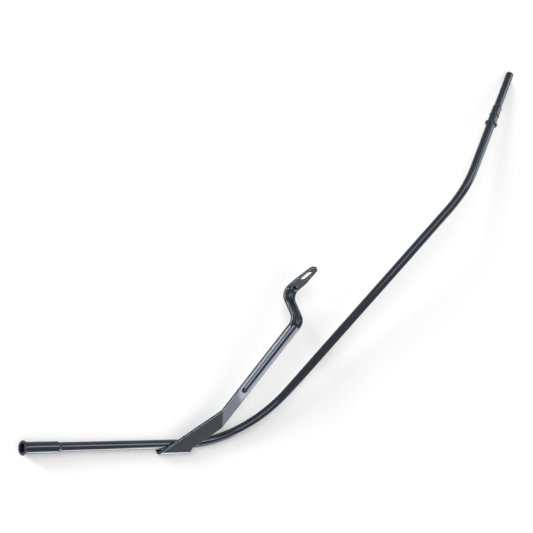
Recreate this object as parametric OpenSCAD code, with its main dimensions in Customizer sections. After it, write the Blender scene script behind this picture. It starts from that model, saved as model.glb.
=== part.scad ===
// Guide tube for an engine oil dipstick, with its stamped bracket, lying as it comes to rest.
// All sizes are in millimetres and degrees.

/* [Tube] */
// Outside diameter of the tube
tube_od = 9.5; // [8.6:0.1:11]
// Wall of the tube
tube_wall = 0.9; // [0.7:0.05:1.2]
// Straight length from the mouth to the first bend
first_straight = 198; // [190:1:260]
// Angle of the first bend
first_bend = 70.6; // [40:0.1:100]
// Radius of the first bend, to the middle of the tube
first_bend_radius = 110; // [60:1:160]
// Straight length between the two bends
middle_straight = 266.5; // [180:0.5:320]
// Turn of the second bend's plane about the middle straight
bend_roll = -95; // [-120:1:-60]
// Angle of the second bend
second_bend = 26.1; // [15:0.1:40]
// Radius of the second bend, to the middle of the tube
second_bend_radius = 116; // [60:1:160]
// Straight length from the second bend to the block end
last_straight = 119; // [100:0.5:160]

/* [Mouth] */
// Outside diameter of the rolled lip
lip_od = 14.4; // [13.6:0.1:18]
// Height of the rolled lip along the tube
lip_height = 2.4; // [1.8:0.1:3]
// Outside diameter of the neck behind the lip
neck_od = 10.3; // [10:0.1:11.2]
// Length of the slope from the neck up to the sleeve
neck_length = 1.7; // [1.5:0.1:4]
// Outside diameter of the widened sleeve
sleeve_od = 11.4; // [11.2:0.1:13]
// Distance from the mouth to the end of the sleeve
sleeve_end = 41; // [25:1:60]
// Length of the shoulder from the sleeve down to the tube
shoulder_length = 3.4; // [2.5:0.1:8]

/* [Block end] */
// Outside diameter of the drawn-down tip
tip_od = 8.2; // [7.4:0.1:8.8]
// Length of the tip
tip_length = 41.5; // [25:1:55]
// Radius of the nosed-over end of the tip
nose_radius = 1.6; // [1.2:0.1:2]
// Length of the step from the tip up to the seat
step_length = 2.2; // [1:0.1:4]
// Outside diameter of the seat for the seal ring
seat_od = 9.9; // [9.6:0.1:10.4]
// Length of the seat ahead of the ridge
seat_length = 9; // [5:0.5:15]
// Outside diameter of the small ridge that keeps the seal ring on
ridge_od = 11.2; // [10.8:0.1:12.5]
// Width of the ridge
ridge_width = 2.4; // [1.5:0.1:4]
// Width of the groove for the seal ring
groove_width = 6.6; // [3:0.1:7]
// Outside diameter of the stop bead
bead_od = 13.6; // [12.5:0.1:16]
// Width of the stop bead
bead_width = 5.2; // [3:0.1:6]

/* [Bracket blade] */
// Thickness of the bracket's sheet
sheet = 2.3; // [1.5:0.1:3]
// Turn of the bracket about the tube
bracket_turn = 2; // [-10:0.5:10]
// Angle between the blade and the tube
blade_angle = 48.4; // [42:0.1:56]
// Where the blade's lower edge crosses the middle of the tube, measured past the first bend's start
blade_past = 2.7; // [-40:0.1:4]
// Length of the blade's lower edge from the middle of the tube to the fold
blade_reach = 37.5; // [34:0.5:46]
// Depth of the flat blade below the middle of the tube
blade_drop = 5; // [4.6:0.1:7]
// Inside radius of the flange curled under the tube
curl_radius = 4; // [3.2:0.1:4.4]
// Angle of the curled flange
curl_angle = 120; // [60:5:120]
// Radius of the rounded corner where the blade's lower edge meets the curled flange
foot_corner = 8; // [5:0.5:10]

/* [Bracket strap] */
// Width of the strap
strap_width = 15; // [14.8:0.1:20]
// Angle of the fold line to the tube
fold_line = 118; // [112:0.5:126]
// Angle of the fold
fold_angle = 7.3; // [4:0.1:15]
// Inside radius of the fold
fold_radius = 18; // [8:1:30]
// Angle of the strap to the tube, measured in the flat sheet
strap_angle = 83.6; // [78:0.1:90]
// Length of the strap's lower edge from the fold to the first joggle bend
strap_length = 145.7; // [110:0.1:180]
// Angle of the first joggle bend
joggle_down = 81.4; // [60:0.1:90]
// Angle of the second joggle bend
joggle_up = 95.8; // [60:0.1:105]
// Flat length between the two joggle bends
joggle_length = 19.8; // [12:0.1:40]
// Inside radius of the joggle bends
joggle_radius = 8; // [5:0.5:12]

/* [Rib] */
// Depth of the rib pressed into the strap
rib_depth = 2.6; // [1.5:0.1:3]
// Inside radius at the bottom of the rib
rib_root_radius = 2.5; // [1.5:0.1:2.6]
// Outside radius at the shoulders of the rib
rib_shoulder_radius = 3.1; // [3.1:0.1:3.4]
// Distance from the fold's lower corner to the start of the rib
rib_start = 56; // [30:1:90]
// Length of the rib beyond the second joggle bend
rib_end = 0.4; // [0.4:0.1:6]

/* [Eye] */
// Length from the second joggle bend to the middle of the slot
eye_reach = 21.6; // [18:0.1:40]
// Width of the bolt slot
slot_width = 6.6; // [6:0.1:8]
// Overall length of the bolt slot
slot_length = 15; // [11:0.5:18]
// Distance from the middle of the slot to the end of the eye
eye_end = 14.6; // [13:0.1:22]
// Radius of the eye's round end
eye_radius = 4.8; // [4.6:0.1:6.5]
// How far the slot sits off the middle of the strap
eye_shift = 1.1; // [-1.5:0.1:1.5]

/* [Weld] */
// Radius of the two weld beads between the tube and the blade
weld_radius = 2; // [1.6:0.1:2.4]
// Length of each weld bead
weld_length = 18; // [10:1:20]

/* [Hidden] */
$fn = 36;

PAINT = [0.13, 0.14, 0.16];

// Flat and straight stretches run a little way into each bend, which is thinner by a hair, so
// that no two surfaces lie one on the other where the stretches join.
LAP = 0.2;
HAIR = 0.02;
EYE_MARGIN = 2;
TUBE_LAP = 0.4;
FAR = 80;

tube_r = tube_od / 2;
bore_r = tube_r - tube_wall;

function unit(v) = v / norm(v);
function flat_dir(angle) = [cos(angle), sin(angle), 0];
function square_to(v, axis) = unit(v - (v * axis) * axis);

// The tube starts along +X from the mouth and its first bend turns it towards +Y.
first_dir = flat_dir(0);
middle_dir = flat_dir(first_bend);
middle_side = flat_dir(first_bend + 90);
last_side = cos(bend_roll) * middle_side + sin(bend_roll) * [0, 0, 1];
last_dir = cos(second_bend) * middle_dir + sin(second_bend) * last_side;
last_over = cos(second_bend) * last_side - sin(second_bend) * middle_dir;

first_centre = [first_straight, first_bend_radius, 0];
middle_start = first_centre + first_bend_radius * flat_dir(first_bend - 90);
middle_end = middle_start + middle_straight * middle_dir;
last_start = middle_end + second_bend_radius
    * (sin(second_bend) * middle_dir + (1 - cos(second_bend)) * last_side);
tube_end = last_start + last_straight * last_dir;

// The furthest points of the lip, of the first bend and of the tip in a given direction.
lip_roll = lip_height / 2;
function lip_point(way) = lip_roll * (first_dir + way)
    + (lip_od / 2 - lip_roll) * square_to(way, first_dir);
function bend_turn(way) = min(max(atan2(way.x, -way.y), 0), first_bend);
function bend_point(way) =
    first_centre + first_bend_radius * flat_dir(bend_turn(way) - 90) + tube_r * way;
function tip_point(way) = tube_end + nose_radius * (way - last_dir)
    + (tip_od / 2 - nose_radius) * square_to(way, last_dir);

// The part lies on those three places, so the way up is found from them in a few passes.
function level_up(up) = let (lip = lip_point(-up))
    unit(cross(bend_point(-up) - lip, tip_point(-up) - lip));
function settled(up, passes) = passes == 0 ? up : settled(level_up(up), passes - 1);
SETTLE_PASSES = 20;
rest_up = settled([0, 0, 1], SETTLE_PASSES);
rest_long = square_to(tube_end, rest_up);
rest_side = cross(rest_up, rest_long);

// The origin is on the ground, under the middle of the part's box.
rest_middle = [
    (tip_point(rest_long) + lip_point(-rest_long)) * rest_long / 2,
    (lip_point(rest_side) + bend_point(-rest_side)) * rest_side / 2,
    lip_point(-rest_up) * rest_up
];

// Lays down what is drawn along the first straight.
module at_rest() {
    translate(-rest_middle) multmatrix([
        [rest_long.x, rest_long.y, rest_long.z, 0],
        [rest_side.x, rest_side.y, rest_side.z, 0],
        [rest_up.x, rest_up.y, rest_up.z, 0],
        [0, 0, 0, 1]
    ]) children();
}

// Puts the child's origin at a point and its X and Y along two square directions.
module placed(origin, x_dir, y_dir) {
    z_dir = cross(x_dir, y_dir);
    multmatrix([
        [x_dir.x, y_dir.x, z_dir.x, origin.x],
        [x_dir.y, y_dir.y, z_dir.y, origin.y],
        [x_dir.z, y_dir.z, z_dir.z, origin.z],
        [0, 0, 0, 1]
    ]) children();
}

// Turns a profile of [radius, distance] about +X.
module turned() {
    placed([0, 0, 0], [0, 1, 0], [0, 0, 1]) rotate_extrude() children();
}

// A ring around the tube with a round crown, its middle at a distance from the end.
module crowned_ring(od, width, middle) {
    crown = width / 2;
    translate([od / 2 - crown, middle]) circle(r = crown);
    translate([0, middle - crown]) square([od / 2 - crown, width]);
}

// The mouth end from outside: rolled lip, neck, widened sleeve, shoulder and first straight.
module mouth_outside() {
    shoulder_at = sleeve_end - shoulder_length;
    turned() {
        crowned_ring(lip_od, lip_height, lip_roll);
        polygon([
            [0, lip_roll], [neck_od / 2 + lip_roll / 2, lip_roll],
            [neck_od / 2, lip_height + lip_roll / 2], [sleeve_od / 2, lip_height + neck_length],
            [sleeve_od / 2, shoulder_at], [tube_r, sleeve_end],
            [tube_r, first_straight + TUBE_LAP], [0, first_straight + TUBE_LAP]
        ]);
    }
}

// The hollow of the mouth end, which follows the outside at the tube's wall.
module mouth_inside() {
    shoulder_at = sleeve_end - shoulder_length;
    sleeve_bore = sleeve_od / 2 - tube_wall;
    neck_bore = neck_od / 2 - tube_wall;
    turned() polygon([
        [0, -1], [neck_bore + lip_roll, -1], [neck_bore + lip_roll, 0],
        [neck_bore + lip_roll / 4, lip_roll / 2],
        [neck_bore, lip_height], [sleeve_bore, lip_height + neck_length],
        [sleeve_bore, shoulder_at], [bore_r, sleeve_end],
        [bore_r, first_straight + TUBE_LAP], [0, first_straight + TUBE_LAP]
    ]);
}

// Distances of the block end's features, back from the end of the tip.
seat_at = tip_length + step_length;
ridge_at = seat_at + seat_length;
groove_at = ridge_at + ridge_width;
bead_at = groove_at + groove_width;
bead_middle = bead_at + bead_width / 2;

// The block end from outside: nosed tip, step, seat, ridge, groove and stop bead.
module block_outside() {
    turned() {
        crowned_ring(tip_od, 2 * nose_radius, nose_radius);
        crowned_ring(ridge_od, ridge_width, ridge_at + ridge_width / 2);
        crowned_ring(bead_od, bead_width, bead_middle);
        polygon([
            [0, nose_radius], [tip_od / 2, nose_radius], [tip_od / 2, tip_length],
            [seat_od / 2, seat_at], [seat_od / 2, bead_middle], [tube_r, bead_middle],
            [tube_r, last_straight + TUBE_LAP], [0, last_straight + TUBE_LAP]
        ]);
    }
}

module block_inside() {
    tip_bore = tip_od / 2 - tube_wall;
    nose_bore = tip_od / 2 - nose_radius;
    turned() polygon([
        [0, -1], [nose_bore, -1], [nose_bore, nose_radius / 2], [tip_bore, nose_radius],
        [tip_bore, tip_length], [bore_r, seat_at],
        [bore_r, last_straight + TUBE_LAP], [0, last_straight + TUBE_LAP]
    ]);
}

// A bend of round stock that enters along +X and curves towards +Y.
module round_bend(r, bend_radius, angle) {
    placed([0, bend_radius, 0], [0, -1, 0], [1, 0, 0])
        rotate_extrude(angle = angle) translate([bend_radius, 0]) circle(r = r - HAIR);
}

// Round stock along both bends and the straight between them.
module tube_run(r) {
    placed(first_straight * first_dir, first_dir, [0, 1, 0])
        round_bend(r, first_bend_radius, first_bend);
    placed(middle_start - TUBE_LAP * middle_dir, middle_side, [0, 0, 1])
        cylinder(r = r, h = middle_straight + 2 * TUBE_LAP);
    placed(middle_end, middle_dir, last_side)
        round_bend(r, second_bend_radius, second_bend);
}

module block_end() {
    placed(tube_end, -last_dir, last_over) children();
}

module guide_tube() {
    color(PAINT) at_rest() difference() {
        union() {
            mouth_outside();
            tube_run(tube_r);
            block_end() block_outside();
        }
        union() {
            mouth_inside();
            tube_run(bore_r);
            block_end() block_inside();
        }
    }
}

// The bracket is drawn with its sheet flat on the tube, then turned about the tube.
back_face = tube_r;
blade_dir = flat_dir(blade_angle);
blade_side = flat_dir(blade_angle + 90);
fold_dir = flat_dir(fold_line);
fold_over = flat_dir(fold_line - 90);
fold_span = strap_width / sin(fold_line - strap_angle);
blade_width = fold_span * sin(fold_line - blade_angle);
fold_tangent = (fold_radius + sheet) * tan(fold_angle / 2);

blade_at = first_straight + blade_past;
blade_foot = [blade_at, 0, 0];
fold_foot = blade_foot + blade_reach * blade_dir + [0, 0, back_face];

// Directions along, across and out of the strap after the fold.
strap_dir = cos(fold_line - strap_angle) * fold_dir + sin(fold_line - strap_angle)
    * (cos(fold_angle) * fold_over + sin(fold_angle) * [0, 0, 1]);
strap_out = cos(fold_angle) * [0, 0, 1] - sin(fold_angle) * fold_over;
strap_over = cross(strap_out, strap_dir);

// The line on which the side faces of the blade and of the strap meet.
corner_dir = unit(cross(blade_side, strap_over));

module blade_outline() {
    left_foot = blade_foot + blade_width * blade_side;
    square_y = -blade_drop - 1;
    square_x = left_foot.x + (square_y - left_foot.y) / tan(blade_angle);
    corner_y = -blade_drop + 1.5;
    polygon(concat(
        [[square_x, -FAR], [blade_foot.x - foot_corner * (1 - cos(80)), -FAR]],
        [for (a = [80 : -10 : 0])
            [blade_foot.x - foot_corner * (1 - cos(a)), corner_y - foot_corner * sin(a)]],
        [[blade_foot.x, 0], [blade_foot.x + FAR / tan(blade_angle), FAR],
            [left_foot.x + (FAR - left_foot.y) / tan(blade_angle), FAR], [square_x, square_y]]
    ));
}

// The blade as far as the fold, and the flange curled from its foot under the tube.
module blade() {
    translate([0, 0, back_face]) linear_extrude(sheet) intersection() {
        blade_outline();
        translate([0, -blade_drop]) square(4 * FAR);
        translate([fold_foot.x, fold_foot.y]) rotate(fold_line - 90)
            translate([-4 * FAR - fold_tangent + LAP, -2 * FAR]) square(4 * FAR);
    }
    intersection() {
        placed([blade_at - FAR, -blade_drop, back_face - curl_radius], [0, 0, 1], [0, -1, 0])
            rotate_extrude(angle = curl_angle) translate([curl_radius, 0])
                square([sheet, 2 * FAR]);
        translate([0, 0, -FAR]) linear_extrude(2 * FAR) blade_outline();
    }
}

// The bent sheet of the fold, cut along the side faces of the blade and of the strap.
module fold() {
    reach = 2 * fold_tangent + 2;
    corner_x = square_to(fold_dir, corner_dir);
    corner_y = cross(corner_dir, corner_x);
    low = HAIR * strap_over;
    high = (fold_span * fold_dir) - HAIR * strap_over;
    edge = [low - reach * blade_dir, low, low + reach * strap_dir,
        high + reach * strap_dir, high, high - reach * blade_dir];
    intersection() {
        placed(fold_foot - fold_tangent * fold_over + [0, 0, sheet + fold_radius],
            [0, 0, -1], fold_over)
            rotate_extrude(angle = fold_angle) translate([fold_radius + HAIR, -FAR])
                square([sheet - 2 * HAIR, 2 * FAR]);
        placed(fold_foot, corner_x, corner_y) translate([0, 0, -FAR / 2])
            linear_extrude(FAR) polygon([for (point = edge) [point * corner_x, point * corner_y]]);
    }
}

module strap_place() {
    placed(fold_foot, strap_dir, strap_over) children();
}

// The rib's shoulders and root are arcs that meet smoothly, one sheet thick throughout.
rib_reach = rib_shoulder_radius + rib_root_radius;
rib_drop = rib_reach - rib_depth;
rib_half = sqrt(rib_reach * rib_reach - rib_drop * rib_drop);
rib_lean = atan2(rib_half, rib_drop);
RIB_STEPS = 8;
RIB_FLANGE = 0.8;

// Half of one face of the rib, from its middle outwards, at a depth below the front face.
function rib_face(depth) =
    let (root = rib_root_radius + depth, shoulder = rib_shoulder_radius - depth)
    concat(
        [for (i = [0 : RIB_STEPS]) let (a = rib_lean * i / RIB_STEPS)
            [root * sin(a), sheet - rib_depth + rib_root_radius - root * cos(a)]],
        [for (i = [RIB_STEPS - 1 : -1 : 0]) let (a = rib_lean * i / RIB_STEPS)
            [rib_half - shoulder * sin(a),
                sheet - rib_shoulder_radius + shoulder * cos(a)]]
    );
function back_to_front(points) = [for (i = [len(points) - 1 : -1 : 0]) points[i]];
function mirrored(points) = [for (point = points) [-point.x, point.y]];

// The ribbed section: X is across the strap and Y is out of its back face.
module strap_section(trim = 0) {
    edge = strap_width / 2 - trim;
    front = concat(rib_face(trim), [[edge, sheet - trim]]);
    back = concat(rib_face(sheet - trim), [[edge, trim]]);
    polygon(concat(
        back_to_front(mirrored(front)), front, back_to_front(back), mirrored(back)
    ));
}

// Half of the rib with a narrow flange, to be turned into a round end.
module rib_half_section() {
    front = concat(rib_face(0), [[rib_half + RIB_FLANGE, sheet]]);
    back = concat(rib_face(sheet), [[rib_half + RIB_FLANGE, 0]]);
    polygon(concat(front, back_to_front(back)));
}

// A flat stretch of the ribbed strap.
module ribbed_flat(start, length) {
    placed([start, strap_width / 2, 0], [0, 1, 0], [0, 0, 1])
        linear_extrude(length) strap_section();
}

// The round end of the rib, on the side of the given angle.
module rib_tip(start, facing) {
    translate([start, strap_width / 2, 0]) rotate(facing - 90)
        rotate_extrude(angle = 180) rib_half_section();
}

// Room for a round end of the rib in the plain sheet.
module rib_room(start) {
    translate([start, strap_width / 2]) circle(r = rib_half + RIB_FLANGE / 2);
}

// The plain strap from the fold to the rib.
module strap_root() {
    linear_extrude(sheet) difference() {
        square([rib_start, strap_width]);
        rotate(fold_line - strap_angle - 90)
            translate([-4 * FAR + fold_tangent - LAP, -2 * FAR]) square(4 * FAR);
        rib_room(rib_start);
    }
    rib_tip(rib_start, 180);
}

module joggle_down_place() {
    translate([strap_length, 0, -joggle_radius]) rotate([0, joggle_down, 0])
        translate([0, 0, joggle_radius]) children();
}

module joggle_up_place() {
    centre = sheet + joggle_radius;
    joggle_down_place() translate([joggle_length, 0, centre]) rotate([0, -joggle_up, 0])
        translate([0, 0, -centre]) children();
}

// The two bends that step the strap down to its eye, with the rib running through them.
module joggle() {
    placed([strap_length, strap_width / 2, -joggle_radius], [0, 0, 1], [1, 0, 0])
        rotate_extrude(angle = joggle_down) translate([joggle_radius, 0]) rotate(-90)
            strap_section(HAIR);
    joggle_down_place() {
        ribbed_flat(-LAP, joggle_length + 2 * LAP);
        placed([joggle_length, strap_width / 2, sheet + joggle_radius],
            [0, 0, -1], [1, 0, 0])
            rotate_extrude(angle = joggle_up) translate([joggle_radius + sheet, 0])
                rotate(90) strap_section(HAIR);
    }
}

module slot_outline() {
    run = (slot_length - slot_width) / 2;
    for (end = [-run, run]) translate([end, 0]) circle(r = slot_width / 2);
    square([2 * run, slot_width], center = true);
}

// Where a line from a point touches a circle, on the side given by 1 or -1.
function touch_point(from, middle, r, side) =
    let (gap = middle - from, lean = atan2(gap.y, gap.x) + side * asin(r / norm(gap)),
        run = sqrt(gap * gap - r * r))
    from + run * [cos(lean), sin(lean)];

// The eye keeps the strap's width as far as the slot, then tapers to its round end.
module eye_outline() {
    end_middle = [eye_reach + eye_end - eye_radius, strap_width / 2 + eye_shift];
    taper_at = eye_reach - slot_length / 2 - EYE_MARGIN;
    low = [taper_at, 0];
    high = [taper_at, strap_width];
    polygon([
        [rib_end, 0], low, touch_point(low, end_middle, eye_radius - HAIR, -1),
        touch_point(high, end_middle, eye_radius - HAIR, 1), high, [rib_end, strap_width]
    ]);
    translate(end_middle) circle(r = eye_radius);
}

// The flat eye with its bolt slot.
module eye() {
    ribbed_flat(-LAP, rib_end + LAP);
    rib_tip(rib_end, 0);
    linear_extrude(sheet) difference() {
        eye_outline();
        rib_room(rib_end);
        translate([eye_reach, strap_width / 2 + eye_shift]) slot_outline();
    }
}

module bracket_place() {
    at_rest() rotate([bracket_turn, 0, 0]) children();
}

module bracket() {
    color(PAINT) bracket_place() {
        blade();
        fold();
        strap_place() {
            strap_root();
            ribbed_flat(rib_start, strap_length - rib_start + LAP);
            joggle();
            joggle_up_place() eye();
        }
    }
}

// A bead lying in the angle between the tube and the blade's back face.
module weld_bead(side) {
    clear = 1.2;
    middle = 1.2 * weld_radius * side;
    weld_from = blade_at + (side * middle - blade_width / sin(blade_angle)) / 2
        - weld_length / 2;
    difference() {
        intersection() {
            translate([0, middle, back_face - weld_radius / 3]) {
                placed([weld_from, 0, 0], [0, 1, 0], [0, 0, 1])
                    cylinder(r = weld_radius, h = weld_length);
                for (end = [weld_from, weld_from + weld_length])
                    translate([end, 0, 0]) sphere(r = weld_radius);
            }
            translate([weld_from - FAR / 2, side > 0 ? clear : -clear - FAR,
                back_face - FAR]) cube([2 * FAR, FAR, FAR]);
        }
        placed([weld_from - FAR / 2, 0, 0], [0, 1, 0], [0, 0, 1])
            cylinder(r = tube_r, h = 2 * FAR);
    }
}

module upper_weld() {
    color(PAINT) bracket_place() weld_bead(1);
}

module lower_weld() {
    color(PAINT) bracket_place() weld_bead(-1);
}

guide_tube();
bracket();
upper_weld();
lower_weld();
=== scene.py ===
"""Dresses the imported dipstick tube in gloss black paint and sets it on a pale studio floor."""

import logging
import math
from dataclasses import dataclass, field
from enum import Enum

import bpy
from mathutils import Matrix, Vector

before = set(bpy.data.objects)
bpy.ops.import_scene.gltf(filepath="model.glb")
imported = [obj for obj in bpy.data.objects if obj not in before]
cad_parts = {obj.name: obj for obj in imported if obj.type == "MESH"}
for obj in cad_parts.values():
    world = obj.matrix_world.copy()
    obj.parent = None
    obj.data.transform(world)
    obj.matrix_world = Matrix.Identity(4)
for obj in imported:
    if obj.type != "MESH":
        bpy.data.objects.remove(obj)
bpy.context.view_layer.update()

LOG = logging.getLogger("dipstick_tube")
IMAGE_SIDE = 533
SENSOR_MM = 36.0

Colour = tuple[float, float, float, float]
Triple = tuple[float, float, float]
Span = tuple[float, float]

BLACK: Colour = (0.0025, 0.003, 0.0045, 1.0)
SLATE: Colour = (0.0035, 0.0055, 0.0095, 1.0)


class Piece(Enum):
    """The CAD nodes that this script dresses."""

    TUBE = "guide_tube"
    BRACKET = "bracket"
    UPPER_WELD = "upper_weld"
    LOWER_WELD = "lower_weld"


def new_group(name: str, inputs: dict[str, float], outputs: dict[str, str]) -> bpy.types.NodeTree:
    """Makes an empty shader node group with its sockets.

    Args:
        name: The group's name.
        inputs: Each float input's name and default value.
        outputs: Each output's name and socket type.

    Returns:
        The group, with its input and output nodes placed.
    """
    group = bpy.data.node_groups.new(name, "ShaderNodeTree")
    for label, value in inputs.items():
        socket = group.interface.new_socket(label, in_out="INPUT", socket_type="NodeSocketFloat")
        socket.default_value = value
    for label, kind in outputs.items():
        group.interface.new_socket(label, in_out="OUTPUT", socket_type=kind)
    group.nodes.new("NodeGroupInput").name = "in"
    group.nodes.new("NodeGroupOutput").name = "out"
    return group


def new_math(
    nodes: bpy.types.Nodes, operation: str, second: float | None = None
) -> bpy.types.Node:
    """Places a math node.

    Args:
        nodes: The nodes of the tree that gets it.
        operation: What it does.
        second: Its second value, where nothing is linked there.

    Returns:
        The node.
    """
    node = nodes.new("ShaderNodeMath")
    node.operation = operation
    if second is not None:
        node.inputs[1].default_value = second
    return node


def new_range(
    nodes: bpy.types.Nodes, from_span: Span = (0.0, 1.0), to_span: Span = (0.0, 1.0)
) -> bpy.types.Node:
    """Places a map range node.

    Args:
        nodes: The nodes of the tree that gets it.
        from_span: The two values that come in.
        to_span: The values that go out for them.

    Returns:
        The node.
    """
    node = nodes.new("ShaderNodeMapRange")
    node.inputs["From Min"].default_value, node.inputs["From Max"].default_value = from_span
    node.inputs["To Min"].default_value, node.inputs["To Max"].default_value = to_span
    return node


def new_mix(nodes: bpy.types.Nodes, second: Colour) -> bpy.types.Node:
    """Places a colour mix, whose first colour is set or linked at A.

    Args:
        nodes: The nodes of the tree that gets it.
        second: The colour at a factor of 1.

    Returns:
        The node.
    """
    node = nodes.new("ShaderNodeMix")
    node.data_type = "RGBA"
    node.inputs["B"].default_value = second
    return node


def new_bump(nodes: bpy.types.Nodes, strength: float, depth: float) -> bpy.types.Node:
    """Places a bump node.

    Args:
        nodes: The nodes of the tree that gets it.
        strength: How much of the bump shows.
        depth: What a height of 1 measures, in metres.

    Returns:
        The node.
    """
    node = nodes.new("ShaderNodeBump")
    node.inputs["Strength"].default_value = strength
    node.inputs["Distance"].default_value = depth
    return node


@dataclass(frozen=True)
class PaintSkin:
    """The fine surface of baked paint: a soft ripple, a few specks and uneven gloss."""

    name: str = "paint_skin"
    ripple_scale: float = 260.0
    ripple_detail: float = 2.0
    speck_scale: float = 1500.0
    speck_rim: float = 0.16
    speck_core: float = 0.08
    speck_height: float = 0.35
    cloud_scale: float = 38.0
    cloud_detail: float = 4.0

    def build(self) -> bpy.types.NodeTree:
        """Builds the group.

        Returns:
            The group, which puts out a height and a cloud value.
        """
        group = new_group(
            self.name,
            {"Ripple Scale": self.ripple_scale, "Speck Scale": self.speck_scale},
            {"Height": "NodeSocketFloat", "Cloud": "NodeSocketFloat"},
        )
        nodes, links = group.nodes, group.links
        place = nodes.new("ShaderNodeTexCoord")
        ripple = nodes.new("ShaderNodeTexNoise")
        ripple.inputs["Detail"].default_value = self.ripple_detail
        specks = nodes.new("ShaderNodeTexVoronoi")
        cloud = nodes.new("ShaderNodeTexNoise")
        cloud.inputs["Scale"].default_value = self.cloud_scale
        cloud.inputs["Detail"].default_value = self.cloud_detail
        dots = new_range(nodes, (self.speck_rim, self.speck_core))
        join = new_math(nodes, "MULTIPLY_ADD", self.speck_height)
        for texture in (ripple, specks, cloud):
            links.new(place.outputs["Object"], texture.inputs["Vector"])
        links.new(nodes["in"].outputs["Ripple Scale"], ripple.inputs["Scale"])
        links.new(nodes["in"].outputs["Speck Scale"], specks.inputs["Scale"])
        links.new(specks.outputs["Distance"], dots.inputs["Value"])
        links.new(dots.outputs["Result"], join.inputs[0])
        links.new(ripple.outputs["Fac"], join.inputs[2])
        links.new(join.outputs["Value"], nodes["out"].inputs["Height"])
        links.new(cloud.outputs["Fac"], nodes["out"].inputs["Cloud"])
        return group


@dataclass(frozen=True)
class PaintedEdgeHighlight:
    """Rounded-over edges, with a painted highlight along them: a pale grey mixed into the paint's
    colour, not wear.
    """

    name: str = "painted_edge_highlight"
    radius: float = 0.0004
    samples: int = 6
    turn_begins: float = 0.88
    turn_full: float = 0.76
    breakup_scale: float = 420.0
    breakup_detail: float = 5.0
    patch_begins: float = 0.3
    patch_full: float = 0.55

    def build(self) -> bpy.types.NodeTree:
        """Builds the group.

        Returns:
            The group, which puts out the eased normal and a mask of the edges that carry the painted
            highlight.
        """
        group = new_group(
            self.name,
            {"Radius": self.radius, "Breakup Scale": self.breakup_scale},
            {"Normal": "NodeSocketVector", "Mask": "NodeSocketFloat"},
        )
        nodes, links = group.nodes, group.links
        eased = nodes.new("ShaderNodeBevel")
        eased.samples = self.samples
        sharp = nodes.new("ShaderNodeNewGeometry")
        dot = nodes.new("ShaderNodeVectorMath")
        dot.operation = "DOT_PRODUCT"
        edge = new_range(nodes, (self.turn_begins, self.turn_full))
        place = nodes.new("ShaderNodeTexCoord")
        breakup = nodes.new("ShaderNodeTexNoise")
        breakup.inputs["Detail"].default_value = self.breakup_detail
        patch = new_range(nodes, (self.patch_begins, self.patch_full))
        # Mask of the painted edge highlight, broken into patches.
        painted_highlight = new_math(nodes, "MULTIPLY")
        links.new(nodes["in"].outputs["Radius"], eased.inputs["Radius"])
        links.new(nodes["in"].outputs["Breakup Scale"], breakup.inputs["Scale"])
        links.new(place.outputs["Object"], breakup.inputs["Vector"])
        links.new(eased.outputs["Normal"], dot.inputs[0])
        links.new(sharp.outputs["Normal"], dot.inputs[1])
        links.new(dot.outputs["Value"], edge.inputs["Value"])
        links.new(breakup.outputs["Fac"], patch.inputs["Value"])
        links.new(edge.outputs["Result"], painted_highlight.inputs[0])
        links.new(patch.outputs["Result"], painted_highlight.inputs[1])
        links.new(eased.outputs["Normal"], nodes["out"].inputs["Normal"])
        links.new(painted_highlight.outputs["Value"], nodes["out"].inputs["Mask"])
        return group


@dataclass(frozen=True)
class Effects:
    """The two node groups that every paint places."""

    skin: bpy.types.NodeTree
    painted_edge_group: bpy.types.NodeTree


@dataclass(frozen=True)
class BeadRipples:
    """The even ripples along a weld bead, under its paint."""

    axis: Triple
    pitch: float = 0.0016
    depth: float = 0.0003
    strength: float = 0.6

    def add_to(self, material: bpy.types.Material, below: bpy.types.Node) -> None:
        """Adds the ripples to a paint.

        Args:
            material: The paint that gets them.
            below: The bump node that they are laid on.
        """
        nodes, links = material.node_tree.nodes, material.node_tree.links
        place = nodes.new("ShaderNodeTexCoord")
        along = nodes.new("ShaderNodeVectorMath")
        along.operation = "DOT_PRODUCT"
        along.inputs[1].default_value = self.axis
        turn = new_math(nodes, "MULTIPLY", 2 * math.pi / self.pitch)
        wave = new_math(nodes, "SINE")
        ridge = new_bump(nodes, self.strength, self.depth)
        links.new(place.outputs["Object"], along.inputs[0])
        links.new(along.outputs["Value"], turn.inputs[0])
        links.new(turn.outputs["Value"], wave.inputs[0])
        links.new(wave.outputs["Value"], ridge.inputs["Height"])
        links.new(below.outputs["Normal"], ridge.inputs["Normal"])
        links.new(ridge.outputs["Normal"], nodes["Principled BSDF"].inputs["Normal"])


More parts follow.
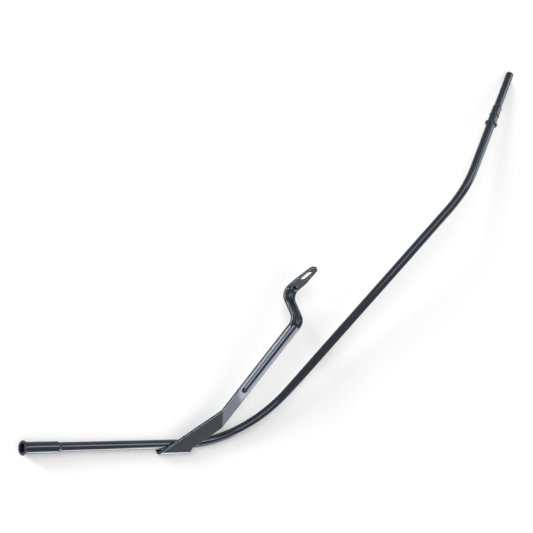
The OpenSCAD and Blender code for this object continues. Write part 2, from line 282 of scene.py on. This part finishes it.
@dataclass(frozen=True)
class GlossPaint:
    """Baked gloss paint on steel."""

    name: str
    base: Colour
    gloss: Span
    ripple_depth: float
    edge_radius: float
    ripples: BeadRipples | None = None
    # Pale grey mixed in along the edges: a painted highlight, not wear.
    painted_highlight_colour: Colour = (0.5, 0.53, 0.58, 1.0)
    dust: Colour = (0.006, 0.007, 0.009, 1.0)
    sheen: float = 0.44
    tint: Colour = (0.7, 0.81, 1.0, 1.0)
    bump_strength: float = 0.35

    def build(self, effects: Effects) -> bpy.types.Material:
        """Builds the paint from the shared effects.

        Args:
            effects: The node groups that it places.

        Returns:
            The material, ready to be put in a piece's slot.
        """
        material = bpy.data.materials.new(self.name)
        material.use_nodes = True
        nodes, links = material.node_tree.nodes, material.node_tree.links
        shader = nodes["Principled BSDF"]
        shader.inputs["Specular Tint"].default_value = self.tint
        shader.inputs["Specular IOR Level"].default_value = self.sheen
        surface = nodes.new("ShaderNodeGroup")
        surface.node_tree = effects.skin
        edges = nodes.new("ShaderNodeGroup")
        edges.node_tree = effects.painted_edge_group
        edges.inputs["Radius"].default_value = self.edge_radius
        dusty = new_mix(nodes, self.dust)
        dusty.inputs["A"].default_value = self.base
        # Painted highlight: the pale grey mixed into the colour along the edges.
        painted_highlight = new_mix(nodes, self.painted_highlight_colour)
        gloss = new_range(nodes, to_span=self.gloss)
        bump = new_bump(nodes, self.bump_strength, self.ripple_depth)
        links.new(surface.outputs["Cloud"], dusty.inputs["Factor"])
        links.new(dusty.outputs["Result"], painted_highlight.inputs["A"])
        links.new(edges.outputs["Mask"], painted_highlight.inputs["Factor"])
        links.new(painted_highlight.outputs["Result"], shader.inputs["Base Color"])
        links.new(surface.outputs["Cloud"], gloss.inputs["Value"])
        links.new(gloss.outputs["Result"], shader.inputs["Roughness"])
        links.new(surface.outputs["Height"], bump.inputs["Height"])
        links.new(edges.outputs["Normal"], bump.inputs["Normal"])
        links.new(bump.outputs["Normal"], shader.inputs["Normal"])
        if self.ripples is not None:
            self.ripples.add_to(material, bump)
        return material


def dress(piece: Piece, material: bpy.types.Material) -> None:
    """Makes a material the only one of a CAD node, and reports it.

    Args:
        piece: The node.
        material: Its finish.
    """
    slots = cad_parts[piece.value].data.materials
    slots.clear()
    slots.append(material)
    LOG.info("dressed %s in %s", piece.value, material.name)


@dataclass
class GuideTube:
    """The bent guide tube, from its rolled lip to its drawn-down tip."""

    gloss: Span = (0.05, 0.09)
    ripple_depth: float = 0.00008
    edge_radius: float = 0.0003

    def build(self, effects: Effects) -> None:
        """Dresses the tube in black.

        Args:
            effects: The node groups that its paint places.
        """
        paint = GlossPaint(
            "tube_gloss_black", BLACK, self.gloss, self.ripple_depth, self.edge_radius
        )
        dress(Piece.TUBE, paint.build(effects))


@dataclass
class Bracket:
    """The pressed sheet bracket, whose corners are softer than the tube's."""

    gloss: Span = (0.05, 0.08)
    ripple_depth: float = 0.00006
    edge_radius: float = 0.0012

    def build(self, effects: Effects) -> None:
        """Dresses the bracket in a black with a little slate in it.

        Args:
            effects: The node groups that its paint places.
        """
        paint = GlossPaint(
            "bracket_gloss_slate", SLATE, self.gloss, self.ripple_depth, self.edge_radius
        )
        dress(Piece.BRACKET, paint.build(effects))


@dataclass
class WeldBeads:
    """The two weld beads along the tube, rougher than what they join."""

    gloss: Span = (0.2, 0.32)
    ripple_depth: float = 0.0002
    edge_radius: float = 0.0002
    tube_axis: Triple = (0.685139, -0.728311, -0.012148)

    def build(self, effects: Effects) -> None:
        """Dresses both beads in one rippled black.

        Args:
            effects: The node groups that their paint places.
        """
        paint = GlossPaint(
            "weld_gloss_black", BLACK, self.gloss, self.ripple_depth, self.edge_radius,
            ripples=BeadRipples(self.tube_axis),
        )
        material = paint.build(effects)
        for piece in (Piece.UPPER_WELD, Piece.LOWER_WELD):
            dress(piece, material)


def hang_lamp(data: bpy.types.Light, way: Vector) -> bpy.types.Object:
    """Hangs a lamp that shines one way.

    Args:
        data: The light, whose name the lamp takes.
        way: The direction in which it shines.

    Returns:
        The lamp.
    """
    lamp = bpy.data.objects.new(data.name, data)
    lamp.rotation_euler = way.to_track_quat("-Z", "Y").to_euler()
    bpy.context.collection.objects.link(lamp)
    return lamp


@dataclass(frozen=True)
class FarKey:
    """One far soft key: its direction and spread in degrees, and its share of a white floor."""

    name: str
    azimuth: float
    elevation: float
    spread: float
    share: float

    def hang(self) -> None:
        """Hangs the key, which lights the floor and leaves no highlight."""
        around, up = math.radians(self.azimuth), math.radians(self.elevation)
        flat = math.cos(up)
        towards = Vector((flat * math.cos(around), flat * math.sin(around), math.sin(up)))
        data = bpy.data.lights.new(self.name, "SUN")
        data.angle = math.radians(self.spread)
        data.energy = math.pi * self.share / math.sin(up)
        lamp = hang_lamp(data, -towards)
        lamp.visible_glossy = False


@dataclass(frozen=True)
class SoftBox:
    """One soft box, which shows only as a highlight in the gloss paint.

    Without an aim it shines at the origin, and with a piece named it lights that one only.
    """

    name: str
    centre: Triple
    size: Span
    glow: float
    aim: Triple | None = None
    only: Piece | None = None

    def hang(self) -> None:
        """Hangs the box, aims it, and keeps it to its one piece if it has one."""
        width, height = self.size
        data = bpy.data.lights.new(self.name, "AREA")
        data.shape = "RECTANGLE"
        data.size, data.size_y = width, height
        data.energy = math.pi * width * height * self.glow
        lamp = hang_lamp(data, Vector(self.aim) if self.aim else -Vector(self.centre))
        lamp.location = self.centre
        lamp.visible_diffuse = False
        if self.only is not None:
            lit = bpy.data.collections.new(f"{self.name}_lights")
            lit.objects.link(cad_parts[self.only.value])
            lamp.light_linking.receiver_collection = lit


def plan_lamps() -> list[FarKey | SoftBox]:
    """Plans the lamps: two keys that cast the shadow, then the boxes for the highlights.

    Returns:
        The lamps, in the order in which they are hung.
    """
    wall, ahead = -0.75, (0.0, 1.0, 0.0)
    tube, bracket = Piece.TUBE, Piece.BRACKET
    return [
        FarKey("key", azimuth=98.0, elevation=30.0, spread=22.0, share=0.38),
        FarKey("low_key", azimuth=101.0, elevation=12.0, spread=12.0, share=0.24),
        SoftBox("strip_mouth", (-0.42, wall, 0.255), (0.3, 0.39), glow=9.6, aim=ahead, only=tube),
        SoftBox("strip_foot", (-0.325, wall, 0.085), (0.1, 0.1), glow=19.0, aim=ahead, only=bracket),
        SoftBox("strip_bend", (-0.028, wall, 0.2), (0.195, 0.4), glow=6.2, aim=ahead, only=tube),
        SoftBox("strip_strap", (-0.1515, wall, 0.56), (0.147, 0.19), glow=8.8, aim=ahead),
        SoftBox("strip_rib", (-0.165, wall, 0.55), (0.12, 0.13), glow=6.0, aim=ahead),
        SoftBox("strip_fold", (-0.2505, wall, 0.52), (0.051, 0.19), glow=3.2, aim=ahead),
        SoftBox("strip_eye", (-0.17, wall, 0.3), (0.07, 0.07), glow=0.4, aim=ahead),
        SoftBox("strip_end", (0.59, wall, 0.385), (0.34, 0.47), glow=3.9, aim=ahead, only=tube),
        SoftBox("side", (1.2, 0.05, 0.92), (1.35, 0.75), glow=5.6, aim=(-1.0, 0.0, 0.0), only=tube),
        SoftBox("top", (0.05, 1.5, 1.42), (1.9, 0.95), glow=6.2, aim=(0.0, -1.0, 0.0)),
        SoftBox("over", (0.74, 0.41, 1.2), (0.5, 0.4), glow=4.6),
        SoftBox("rib_wall", (-1.15, -0.96, 1.61), (1.7, 0.9), glow=11.0, only=bracket),
        SoftBox("back", (-2.6, -1.5, 2.0), (2.6, 1.6), glow=4.5),
    ]


@dataclass
class Studio:
    """The pale floor, the lamps and the world's light."""

    floor_half: float = 8.0
    floor_colour: Colour = (0.95, 0.95, 0.95, 1.0)
    floor_roughness: float = 0.95
    floor_lift: float = 0.1
    world_colour: Colour = (1.0, 1.0, 1.0, 1.0)
    world_strength: float = 0.5
    seen_strength: float = 1.0
    lamps: list[FarKey | SoftBox] = field(default_factory=plan_lamps)

    def seen_directly(self, tree: bpy.types.NodeTree) -> bpy.types.NodeSocket:
        """Places a mask of the rays that show the background itself or its reflection.

        Args:
            tree: The node tree that gets the mask.

        Returns:
            The output that is 1 for camera, glossy and transmission rays.
        """
        path = tree.nodes.new("ShaderNodeLightPath")
        seen = path.outputs["Is Camera Ray"]
        for ray in ("Is Glossy Ray", "Is Transmission Ray"):
            add = new_math(tree.nodes, "ADD")
            add.use_clamp = True
            tree.links.new(seen, add.inputs[0])
            tree.links.new(path.outputs[ray], add.inputs[1])
            seen = add.outputs["Value"]
        return seen

    def lay_floor(self) -> None:
        """Lays a plain floor that shows white to the camera and keeps the shadow."""
        bpy.ops.mesh.primitive_plane_add(size=2 * self.floor_half)
        floor = bpy.context.object
        floor.name = "floor"
        material = bpy.data.materials.new("floor_pale")
        material.use_nodes = True
        nodes, links = material.node_tree.nodes, material.node_tree.links
        shader = nodes["Principled BSDF"]
        shader.inputs["Base Color"].default_value = self.floor_colour
        shader.inputs["Roughness"].default_value = self.floor_roughness
        shader.inputs["Specular IOR Level"].default_value = 0.0
        glow = nodes.new("ShaderNodeEmission")
        mixed = nodes.new("ShaderNodeMixShader")
        lift = new_math(nodes, "MULTIPLY", self.floor_lift)
        links.new(self.seen_directly(material.node_tree), lift.inputs[0])
        links.new(lift.outputs["Value"], mixed.inputs["Fac"])
        links.new(shader.outputs["BSDF"], mixed.inputs[1])
        links.new(glow.outputs["Emission"], mixed.inputs[2])
        links.new(mixed.outputs["Shader"], nodes["Material Output"].inputs["Surface"])
        floor.data.materials.append(material)

    def light_world(self) -> None:
        """Fills the world with even light that shows white where it is seen."""
        world = bpy.data.worlds.new("studio")
        bpy.context.scene.world = world
        world.use_nodes = True
        nodes, links = world.node_tree.nodes, world.node_tree.links
        strength = new_range(nodes, to_span=(self.world_strength, self.seen_strength))
        links.new(self.seen_directly(world.node_tree), strength.inputs["Value"])
        background = nodes["Background"]
        background.inputs["Color"].default_value = self.world_colour
        links.new(strength.outputs["Result"], background.inputs["Strength"])

    def build(self) -> None:
        """Builds the whole studio."""
        self.lay_floor()
        self.light_world()
        for lamp in self.lamps:
            lamp.hang()


@dataclass
class PhotoCamera:
    """The camera at the photograph's viewing angle."""

    place: Triple = (-0.30506, 0.77834, 0.7392)
    right: Triple = (0.76687, -0.29519, 0.56989)
    up: Triple = (0.5847, 0.68749, -0.43068)
    focal_px: float = 1029.3

    def build(self) -> None:
        """Places the camera and makes it the scene's own."""
        data = bpy.data.cameras.new("photo_camera")
        data.sensor_width = SENSOR_MM
        data.lens = self.focal_px * SENSOR_MM / IMAGE_SIDE
        camera = bpy.data.objects.new("photo_camera", data)
        right, up = Vector(self.right).normalized(), Vector(self.up).normalized()
        back = right.cross(up).normalized()
        turn = Matrix((right, up, back)).transposed()
        camera.matrix_world = Matrix.Translation(Vector(self.place)) @ turn.to_4x4()
        bpy.context.collection.objects.link(camera)
        bpy.context.scene.camera = camera


def main() -> None:
    """Dresses the part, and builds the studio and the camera."""
    logging.basicConfig(level=logging.INFO)
    effects = Effects(skin=PaintSkin().build(), painted_edge_group=PaintedEdgeHighlight().build())
    GuideTube().build(effects)
    Bracket().build(effects)
    WeldBeads().build(effects)
    Studio().build()
    PhotoCamera().build()
    bpy.context.scene.view_settings.view_transform = "Standard"


if __name__ == "__main__":
    main()
